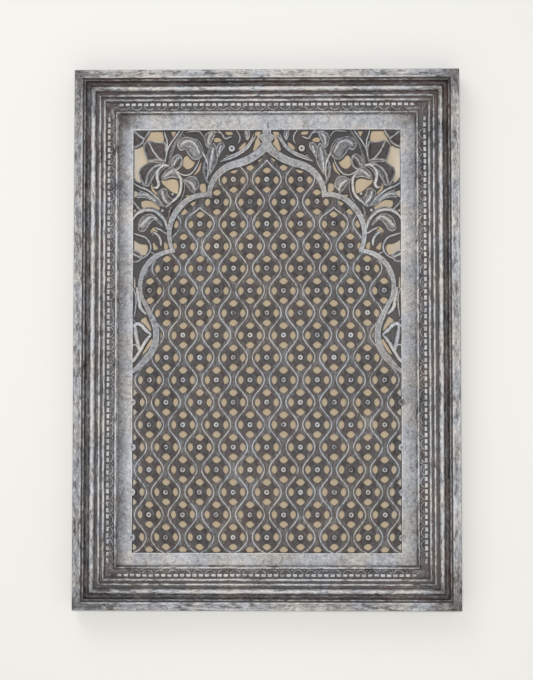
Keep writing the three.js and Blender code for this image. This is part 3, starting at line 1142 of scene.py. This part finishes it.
# %% The openings
OPENINGS = [
    [(-184, 3), (-166, 3), (-161, -16), (-169, -19), (-184, -16), (-195, -21), (-188, -8)],
    [(-213, -27), (-204, -27), (-196, -22), (-191, -36), (-187, -49), (-194, -55), (-199, -60),
     (-200, -66), (-198, -77), (-199, -84), (-213, -79)],
    [(-184, -84), (-183, -92), (-179, -99), (-174, -104), (-172, -98), (-177, -94), (-178, -87),
     (-180, -81)],
    [(-168, -76), (-160, -78), (-155, -76), (-148, -75), (-142, -77), (-139, -83), (-139, -93),
     (-140, -101), (-150, -97), (-158, -90), (-165, -84)],
    [(-213, -93), (-202, -96), (-205, -104), (-213, -109)],
    [(-199, -112), (-197, -110), (-190, -109), (-184, -110), (-177, -114), (-168, -121),
     (-169, -126), (-182, -124), (-193, -123), (-198, -120)],
    [(-213, -121), (-204, -126), (-213, -133)],
    [(-149, -124), (-150, -132), (-155, -147), (-159, -134), (-155, -129)],
    [(-185, -158), (-179, -151), (-172, -151), (-171, -158), (-174, -164), (-179, -166)],
    [(-181, -174), (-174, -181), (-170, -187), (-179, -190)],
    [(-213, -170), (-200, -179), (-189, -179), (-186, -187), (-191, -198), (-200, -195),
     (-213, -191)],
    [(-163, -174), (-156, -179), (-155, -187), (-162, -189)],
    [(-153, 3), (-141, 3), (-147, -11), (-149, -8)],
    [(-132, -42), (-127, -37), (-119, -46), (-112, -50), (-118, -59), (-126, -62), (-134, -54)],
    [(-107, -48), (-103, -50), (-105, -63), (-114, -71), (-119, -69), (-112, -61)],
    [(-105, -83), (-97, -82), (-95, -99), (-103, -98), (-107, -90)],
    [(-84, -11), (-79, -9), (-73, -11), (-70, -17), (-80, -19), (-84, -17)],
    [(-67, 1), (-55, 1), (-53, -7), (-64, -7)],
    [(-45, -26), (-36, -17), (-32, -18), (-34, -26), (-43, -32)],
    [(-67, -40), (-64, -36), (-59, -39), (-66, -41)],
    [(-18, 1), (-8, 1), (-13, -13), (-8, -20), (-11, -23), (-19, -33), (-23, -31), (-18, -15),
     (-20, -7)],
    [(-99, -37), (-95, -35), (-89, -47), (-87, -57), (-93, -49)],
    [(-130, -102), (-125, -100), (-117, -102), (-124, -106)],
    [(-199, -298), (-191, -293), (-188, -299), (-183, -308), (-181, -316), (-185, -316),
     (-192, -311), (-199, -307)],
    [(-189, -331), (-180, -328), (-179, -334), (-184, -342), (-191, -351), (-196, -354),
     (-197, -350), (-192, -341)],
    [(-213, -228), (-207, -231), (-206, -252), (-213, -254)],
]
GROUND_FACE = 17.5


def rounded(outline):
    """An outline with its corners cut off twice over, which rounds them."""
    for _ in range(2):
        cut = []
        for (xa, za), (xb, zb) in zip(outline, [*outline[1:], outline[0]]):
            cut += [(0.8 * xa + 0.2 * xb, 0.8 * za + 0.2 * zb)]
            cut += [(0.2 * xa + 0.8 * xb, 0.2 * za + 0.8 * zb)]
        outline = cut
    return outline


def leafwork_ground():
    low = FOOT - 3
    half, high = OPENING_HALF + TUCK, OPENING_TOP + TUCK
    corners = [(-half, low), (half, low), (half, high), (-half, high)]
    ground = slab(corners, BOARD_BACK + 1, GROUND_FACE)
    plugs = []
    for outline in OPENINGS:
        for side in (outline, mirrored(outline)):
            plugs.append(slab(hung(rounded(side)), BOARD_BACK - 3, GROUND_FACE + 4))
    cutter = joined(plugs, "plugs")
    for tool in (field, cutter):
        apply_modifier(ground, "BOOLEAN", operation="DIFFERENCE", object=tool, solver="MANIFOLD")
    bpy.data.objects.remove(cutter)
    return ground


ground = leafwork_ground()
set_wash(ground, lambda x, z, height: 0 if height > GROUND_FACE - 1 else 0.14)
finish_piece(ground, "leafwork_ground", board_wood, "carved_board", 40)
bpy.data.objects.remove(field)

# %% [markdown]
# ## The leafwork
# Outside the arch the carver cut stems, curled leaves and a ring flower, the same on both
# sides. A stem or a vein is a strap along a smooth line. A leaf is a slab over its outline. Its
# face is scored into small squares, whose corners are then raised into a rim, a hollow or a
# swelling, and a rib.

# %% Smooth lines
def smooth(points):
    """A smooth line through a few places."""
    steps = 5
    line = []
    padded = [points[0], *points, points[-1]]
    for a, b, c, d in zip(padded, padded[1:], padded[2:], padded[3:]):
        for i in range(steps):
            t = i / steps
            line.append(tuple(
                0.5 * (2 * q + (r - p) * t + (2 * p - 5 * q + 4 * r - s) * t * t
                       + (3 * q - p - 3 * r + s) * t ** 3)
                for p, q, r, s in zip(a, b, c, d)
            ))
    return [*line, points[-1]]


# %% What is carved on the left
# Places are given from the middle of the opening's top edge.
STEMS = [
    # width in the middle, crest, then the places along it
    (7, 2.0, [(-154, -57), (-160, -55), (-166, -57), (-171, -63), (-173, -70), (-172, -78),
         (-170, -85), (-173, -91), (-178, -90)]),
    (5.5, 2.4, [(-146, -64), (-138, -72), (-135, -80), (-135, -90), (-137, -100), (-143, -108),
         (-150, -114), (-159, -120)]),
    (5.5, 1.6, [(-212, -82), (-201, -89), (-193, -92), (-184, -97), (-176, -104), (-168, -112),
         (-162, -122)]),
    (7, 1.8, [(-212, -144), (-206, -134), (-197, -128), (-187, -126), (-176, -128), (-167, -135),
         (-160, -143), (-157, -153), (-155, -160)]),
    (4.5, 1.4, [(-212, -109), (-206, -118), (-198, -126), (-190, -128)]),
    (3.2, 2.4, [(-162, 2), (-160, -8), (-157, -17), (-157, -28), (-158, -39), (-160, -52)]),
    (3.2, 2.4, [(-135, 2), (-143, -9), (-150, -19), (-155, -28), (-158, -38)]),
    (7, 0.8, [(-130, 2), (-138, -10), (-145, -22), (-150, -36), (-153, -50), (-156, -62)]),
    (3.2, 2.2, [(-151, -57), (-145, -62), (-134, -70), (-124, -71), (-116, -66), (-109, -55),
         (-105, -44)]),
    (4.5, 2.0, [(-102, -34), (-97, -43), (-93, -54), (-92, -65), (-94, -78)]),
    (6.5, 1.0, [(-88, -88), (-96, -76), (-99, -62), (-98, -50)]),
    (5, 1.2, [(-128, -76), (-122, -86), (-116, -96), (-110, -108)]),
    (2.6, 2.2, [(-98, -12), (-95, -6), (-87, -3), (-75, -4), (-68, -8)]),
    (2.6, 2.0, [(-128, -4), (-120, -2), (-107, -2), (-102, -7), (-98, -14), (-97, -26)]),
    (4, 1.6, [(-80, 2), (-72, -4), (-66, -13), (-60, -12), (-55, -10)]),
    (3, 2.0, [(-50, 2), (-44, -6), (-42, -14), (-45, -22)]),
    (5, 1.6, [(-16, -8), (-22, -16), (-30, -28), (-42, -37), (-56, -44), (-74, -50)]),
    (3, 2.4, [(-20, -4), (-24, -15), (-33, -27), (-46, -36), (-58, -41), (-72, -48)]),
    (4, 1.6, [(-212, -162), (-200, -166), (-190, -170), (-183, -180), (-183, -190), (-190, -199),
         (-204, -206)]),
    (5.5, 1.8, [(-180, -160), (-172, -165), (-167, -173), (-166, -183)]),
    (4, 1.8, [(-176, -154), (-166, -158), (-158, -163), (-150, -160)]),
    (6, 1.0, [(-150, -120), (-154, -132), (-151, -146), (-152, -160), (-150, -178)]),
    (5, 1.2, [(-183, -192), (-175, -196), (-166, -196), (-154, -192)]),
    (4, 1.6, [(-213, -244), (-207, -256), (-205, -268), (-206, -282), (-208, -296)]),
    (8, 2.2, [(-204, -248), (-202, -258), (-200, -269), (-198, -280), (-189, -290)]),
    (8, 2.2, [(-210, -309), (-203, -305), (-196, -308), (-190, -315), (-181, -322)]),
    (7.5, 2.2, [(-181, -322), (-190, -333), (-197, -345), (-205, -358), (-213, -368)]),
    (9, 1.8, [(-207, -306), (-205, -323), (-202, -337), (-199, -350)]),
    (3.5, 2.4, [(-213, -340), (-206, -338), (-200, -343)]),
    (4, 1.2, [(-213, -296), (-207, -301), (-205, -310)]),
    (1.9, 3.2, [(-110, -43), (-107, -35), (-111, -28), (-117, -26), (-121, -30), (-120, -35),
         (-115, -36)]),
    (2.0, 2.6, [(-133, -3), (-128, -12), (-122, -16), (-112, -14), (-104, -22), (-100, -33),
         (-98, -44)]),
    (2.2, 2.4, [(-206, -92), (-198, -96), (-188, -100), (-178, -107), (-170, -115), (-160, -121)]),
    (2.0, 2.6, [(-146, -120), (-136, -112), (-131, -100), (-129, -88), (-132, -78), (-138, -70)]),
    (2.0, 2.4, [(-211, -139), (-204, -129), (-194, -124), (-184, -122), (-172, -126), (-164, -134),
         (-157, -147)]),
    (1.9, 2.6, [(-203, -153), (-196, -145), (-187, -137), (-178, -135), (-170, -141), (-163, -153)]),
    (1.9, 2.8, [(-172, -80), (-170, -71), (-165, -63), (-157, -57), (-150, -56)]),
    (1.8, 2.4, [(-177, -91), (-181, -84), (-183, -75), (-180, -67), (-173, -60)]),
    (1.9, 2.4, [(-119, -97), (-112, -90), (-108, -82), (-112, -74), (-119, -72)]),
    (1.8, 2.4, [(-93, -68), (-97, -55), (-96, -44), (-91, -30), (-86, -20)]),
    (1.9, 2.6, [(-86, -60), (-82, -50), (-80, -36), (-83, -24)]),
    (1.8, 2.4, [(-214, -68), (-206, -80), (-196, -86), (-186, -90)]),
]
LEAVES = [
    # how its face is carved, its outline, and the rib along it
    ("dished", [(-213, 3), (-184, 3), (-184, -2), (-188, -8), (-192, -14), (-196, -21), (-205, -27),
         (-213, -28)],
     [(-207, -3), (-199, -10), (-193, -13)]),
    ("dished", [(-196, -22), (-186, -15), (-176, -18), (-169, -19), (-160, -16), (-157, -33),
         (-158, -50), (-172, -47), (-182, -48), (-188, -50), (-192, -40)],
     [(-185, -20), (-180, -31), (-171, -43), (-161, -51)]),
    ("dished", [(-160, -50), (-176, -49), (-187, -49), (-194, -55), (-200, -59), (-202, -66),
         (-200, -76), (-197, -82), (-193, -88), (-188, -90), (-184, -86), (-180, -77), (-174, -66),
         (-166, -58)],
     [(-168, -54), (-180, -60), (-188, -72), (-190, -84)]),
    ("domed", [(-150, -57), (-158, -62), (-165, -71), (-166, -77), (-160, -78), (-154, -75),
         (-148, -74), (-140, -76), (-136, -74), (-138, -68), (-144, -61)],
     [(-146, -63), (-154, -68), (-162, -74)]),
    ("domed", [(-171, -96), (-163, -91), (-157, -93), (-156, -100), (-152, -107), (-143, -110),
         (-150, -117), (-159, -123), (-167, -115), (-172, -106)],
     [(-165, -97), (-162, -108), (-155, -116)]),
    ("domed", [(-206, -107), (-202, -98), (-196, -96), (-190, -98), (-183, -103), (-172, -110),
         (-164, -120), (-172, -119), (-182, -110), (-193, -106)],
     [(-202, -102), (-190, -102), (-176, -112)]),
    ("domed", [(-198, -138), (-188, -132), (-180, -132), (-173, -137), (-167, -143), (-162, -154),
         (-170, -147), (-176, -141), (-180, -143), (-186, -150), (-190, -158), (-197, -161),
         (-203, -157), (-202, -148)],
     [(-200, -152), (-190, -143), (-181, -137), (-172, -141)]),
    ("domed", [(-133, -11), (-124, -10), (-113, -14), (-104, -26), (-100, -38), (-106, -46),
         (-116, -47), (-124, -38), (-128, -29), (-136, -33), (-142, -24), (-138, -14)],
     [(-134, -22), (-124, -17), (-113, -22), (-106, -36)]),
    ("dished", [(-152, -54), (-149, -43), (-141, -37), (-134, -40), (-132, -50), (-135, -58),
         (-141, -63), (-147, -64)],
     [(-147, -56), (-142, -46), (-137, -43)]),
    ("domed", [(-132, -78), (-118, -71), (-107, -80), (-106, -89), (-111, -94), (-115, -101),
         (-120, -96), (-126, -87)],
     [(-126, -80), (-117, -86), (-113, -95)]),
    ("domed", [(-92, -74), (-95, -64), (-94, -40), (-89, -25), (-83, -19), (-79, -28), (-77, -40),
         (-78, -50), (-83, -60)],
     [(-90, -66), (-88, -48), (-84, -28)]),
    ("domed", [(-77, -44), (-73, -36), (-66, -26), (-68, -19), (-76, -20), (-81, -30)],
     [(-75, -36), (-72, -26)]),
    ("domed", [(-99, -12), (-96, -5), (-89, -1), (-80, -1), (-82, -9), (-85, -15), (-92, -30),
         (-97, -22)],
     [(-92, -22), (-91, -12), (-86, -5)]),
    ("domed", [(-35, 2), (-35, -8), (-31, -17), (-26, -10), (-28, 2)],
     [(-32, -3), (-30, -13)]),
    ("dished", [(-213, -188), (-204, -190), (-194, -198), (-199, -207), (-213, -210)],
     [(-209, -196), (-200, -200)]),
]
FLOWER = (-55, -29)
FLOWER_SIZE = 1.25
BEADS = [(-148, -101, 2.6), (-164, -127, 2.8)]


# %% Stems, leaves and the flower
LEAF_BACK = BOARD_BACK + 1.7  # a little in from the ground's back, so that the two never touch
LEAF_FACE = 19.6


def taper(count, width):
    """Full width along most of a stem, and less than half of it at both ends."""
    along = [i / (count - 1) for i in range(count)]
    return [width * (0.45 + 0.55 * min(1, 6 * t * (1 - t))) for t in along]


def stem(width, crest, points):
    line = smooth(points)
    made = strap(hung(line), taper(len(line), width), LEAF_BACK, LEAF_FACE, crest)
    set_wash(made, by_height(LEAF_FACE - 0.2, LEAF_FACE + 1.9, 0.1, 0.92))
    return made


LEAF_KINDS = {
    # how high the rim stands, how deep the face is hollowed, how far it swells, the rib, and
    # the wash that the face keeps
    "dished": (2.2, 2.2, 0, 2.0, 0.4),
    "domed": (1.2, 0.2, 2.1, 0.8, 0.36),
}
RIM_WASH = 0.98
GRID = 1.9  # the side of the squares that a leaf's face is scored into
RIM_WIDTH_LEAF = 1.6
RIB_WIDTH = 1.25
RIPPLE_LENGTH, RIPPLE = 7, 0.35
PAINTED_RELIEF_SHADING = 0.14  # painted shade and highlight: how much a hollow face is painted darker, or a swelling one lighter, inwards, as if its relief were lit


def to_line(line, x, z):
    """The distance from a place to a line of short straight stretches."""
    best = 1e9
    for (xa, za), (xb, zb) in zip(line, line[1:]):
        ux, uz = xb - xa, zb - za
        t = clamp(((x - xa) * ux + (z - za) * uz) / (ux * ux + uz * uz or 1))
        best = min(best, math.hypot(x - xa - t * ux, z - za - t * uz))
    return best


def swell(share):
    """From 0 to 1 with a smooth start and end."""
    share = clamp(share)
    return share * share * (3 - 2 * share)


def leaf(kind, outline, rib):
    """A slab over the leaf's outline, scored into small squares that are then raised."""
    ring = hung(rounded(outline))
    line = hung(smooth(rib))
    body = slab(ring, LEAF_BACK, LEAF_FACE)
    edit(body)
    xs, zs = [x for x, z in ring], [z for x, z in ring]
    for low, high, normal in ((min(xs), max(xs), (1, 0, 0)), (min(zs), max(zs), (0, 0, 1))):
        for step in range(1, int((high - low) / GRID) + 1):
            spot = Vector(normal) * (low + step * GRID) * MM
            bpy.ops.mesh.select_all(action="SELECT")
            bpy.ops.mesh.bisect(plane_co=spot, plane_no=normal)
    done()
    edge_rise, hollow, crown, rib_rise, face_wash = LEAF_KINDS[kind]
    layer = body.data.attributes.new("wash", "FLOAT", "POINT")
    for corner, wash in zip(body.data.vertices, layer.data):
        x, y, z = corner.co / MM
        if -y < LEAF_FACE - 0.1:
            continue
        inwards = to_line([*ring, ring[0]], x, z)
        from_rib = to_line(line, x, z)
        rise = edge_rise * swell(inwards / RIM_WIDTH_LEAF)
        rise -= hollow * swell((inwards - RIM_WIDTH_LEAF) / 4)
        rise += crown * swell(inwards / 7)
        rise += rib_rise * math.exp(-((from_rib / RIB_WIDTH) ** 2)) * swell(inwards / 1.2)
        ripple = noise.noise(Vector((x / RIPPLE_LENGTH, z / RIPPLE_LENGTH, 3.1)))
        corner.co.y -= (rise + RIPPLE * ripple * swell(inwards / 2)) * MM
        bright = max(1 - inwards / 2.2, math.exp(-((from_rib / 1.3) ** 2)), 0)
        # Painted shade and highlight: a hollow face darker inwards, a swelling one lighter, as if lit.
        shade = face_wash + (crown - hollow) * PAINTED_RELIEF_SHADING * (swell(inwards / 6) - 0.3)
        wash.value = shade + (RIM_WASH - shade) * bright
    return body


def ring_flower(x, z):
    """The button's shape again, a little larger."""
    flower = lathe_button()
    for corner in flower.data.vertices:
        corner.co = corner.co * FLOWER_SIZE + place(x, z, LEAF_FACE + 0.5)
    set_wash(flower, by_height(LEAF_FACE, LEAF_FACE + 2.4, 0.1, 1.0))
    return flower


def round_bead(x, z, radius):
    bpy.ops.object.select_all(action="DESELECT")
    bpy.ops.mesh.primitive_uv_sphere_add(
        segments=10, ring_count=6, radius=radius * MM, location=place(x, z, LEAF_FACE)
    )
    made = bpy.context.object
    bpy.ops.object.transform_apply(location=True, rotation=False, scale=False)
    set_wash(made, by_height(LEAF_FACE, LEAF_FACE + 2.4, 0.2, 0.95))
    return made


def leafwork():
    parts = [stem(*row) for row in STEMS]
    parts += [leaf(*row) for row in LEAVES]
    parts.append(ring_flower(*hung([FLOWER])[0]))
    parts += [round_bead(x, z + OPENING_TOP, radius) for x, z, radius in BEADS]
    return joined(parts, "leafwork_left")


left = leafwork()
only(left)
bpy.ops.object.duplicate()
right = bpy.context.object
for corner in right.data.vertices:
    corner.co.x = -corner.co.x
edit(right)
bpy.ops.mesh.flip_normals()
done()
for piece, name in ((left, "leafwork_left"), (right, "leafwork_right")):
    finish_piece(piece, name, margin_wood, "carved_board", 50)

# %% [markdown]
# ## The wall, the floor and the light
# The wall is plain and pale, and painted browner behind the lattice, as painted shade where it
# lies in the panel's own shade. Light comes from a large soft lamp above and to the left and
# from a smaller, stronger one in front, close to the line of sight.

# %% The wall and the floor
SHADE_ASIDE, SHADE_AWAY = (0.185, 0.235), (0.34, 0.38)  # metres from the panel's middle, where the painted shade behind the lattice fades out


def pale_material(name, tint, painted_shade=None):
    """Plain paint that is clear from behind, with painted shade behind the lattice if given."""
    material, shader, start = new_material(name)
    tree = material.node_tree
    shader.inputs["Base Color"].default_value = tint
    shader.inputs["Roughness"].default_value = 0.9
    if painted_shade:
        spot = start.node("ShaderNodeTexCoord", {}, {}, output=3)
        across = start.node("ShaderNodeSeparateXYZ", {}, {0: spot})
        up = start.node("ShaderNodeSeparateXYZ", {}, {0: spot}, output=2)
        aside = across.math("ABSOLUTE", across)
        away = up.math("ABSOLUTE", up - centre.z)
        # Painted shade: browner in a soft patch behind the lattice.
        mask = (1 - aside.rising(*SHADE_ASIDE)) * (1 - away.rising(*SHADE_AWAY))
        tree.links.new(mixed(start, mask, tint, painted_shade).socket, shader.inputs["Base Color"])
    clear = start.node("ShaderNodeBsdfTransparent", {}, {})
    behind = start.node("ShaderNodeNewGeometry", {}, {}, output="Backfacing")
    painted = Mask(tree, shader.outputs[0])
    both = start.node("ShaderNodeMixShader", {}, {0: behind, 1: painted, 2: clear})
    tree.links.new(both.socket, tree.nodes["Material Output"].inputs["Surface"])
    return material


# The second colour is painted shade, for the wall behind the lattice.
WALL_PAINT, PAINTED_WALL_SHADE = colour(236, 235, 231), colour(233, 212, 181)
FLOOR_PAINT = colour(230, 229, 225)
WALL_GAP = 0.002
FLOOR_DROP = 0.55
UPRIGHT = (math.pi / 2, 0, 0)


def backdrop(name, location, rotation, paint):
    bpy.ops.object.select_all(action="DESELECT")
    bpy.ops.mesh.primitive_plane_add(size=8, location=location, rotation=rotation)
    made = bpy.context.object
    bpy.ops.object.transform_apply(location=True, rotation=True, scale=True)
    made.name = name
    made.data.materials.append(paint)
    return made


wall_paint_and_shade = pale_material("wall_paint_and_shade", WALL_PAINT, PAINTED_WALL_SHADE)
wall = backdrop("wall", (0, WALL_GAP, centre.z), UPRIGHT, wall_paint_and_shade)
wall.visible_shadow = False
wall.visible_diffuse = False
wall.visible_glossy = False
floor_paint = pale_material("floor_paint", FLOOR_PAINT)
floor = backdrop("floor", (0, 0, cad_low.z - FLOOR_DROP), (0, 0, 0), floor_paint)
print("wall and floor are in place")

# %% The lamps
def soft_lamp(name, location, size, power):
    bpy.ops.object.light_add(type="AREA", location=location)
    lamp = bpy.context.object
    lamp.name = name
    lamp.rotation_euler = (centre - lamp.location).to_track_quat("-Z", "Y").to_euler()
    lamp.data.size = size
    lamp.data.energy = power


WORLD_STRENGTH = 0.36
soft_lamp("key_lamp", (-0.9, -1.9, 1.5), 1.6, 16)
soft_lamp("front_lamp", stand + Vector((0, -0.5, 0.05)), 0.4, 46)
world = bpy.data.worlds.new("soft_room")
world.use_nodes = True
background = world.node_tree.nodes["Background"]
background.inputs["Color"].default_value = (1, 1, 1, 1)
background.inputs["Strength"].default_value = WORLD_STRENGTH
bpy.context.scene.world = world
bpy.context.scene.view_settings.view_transform = "Standard"
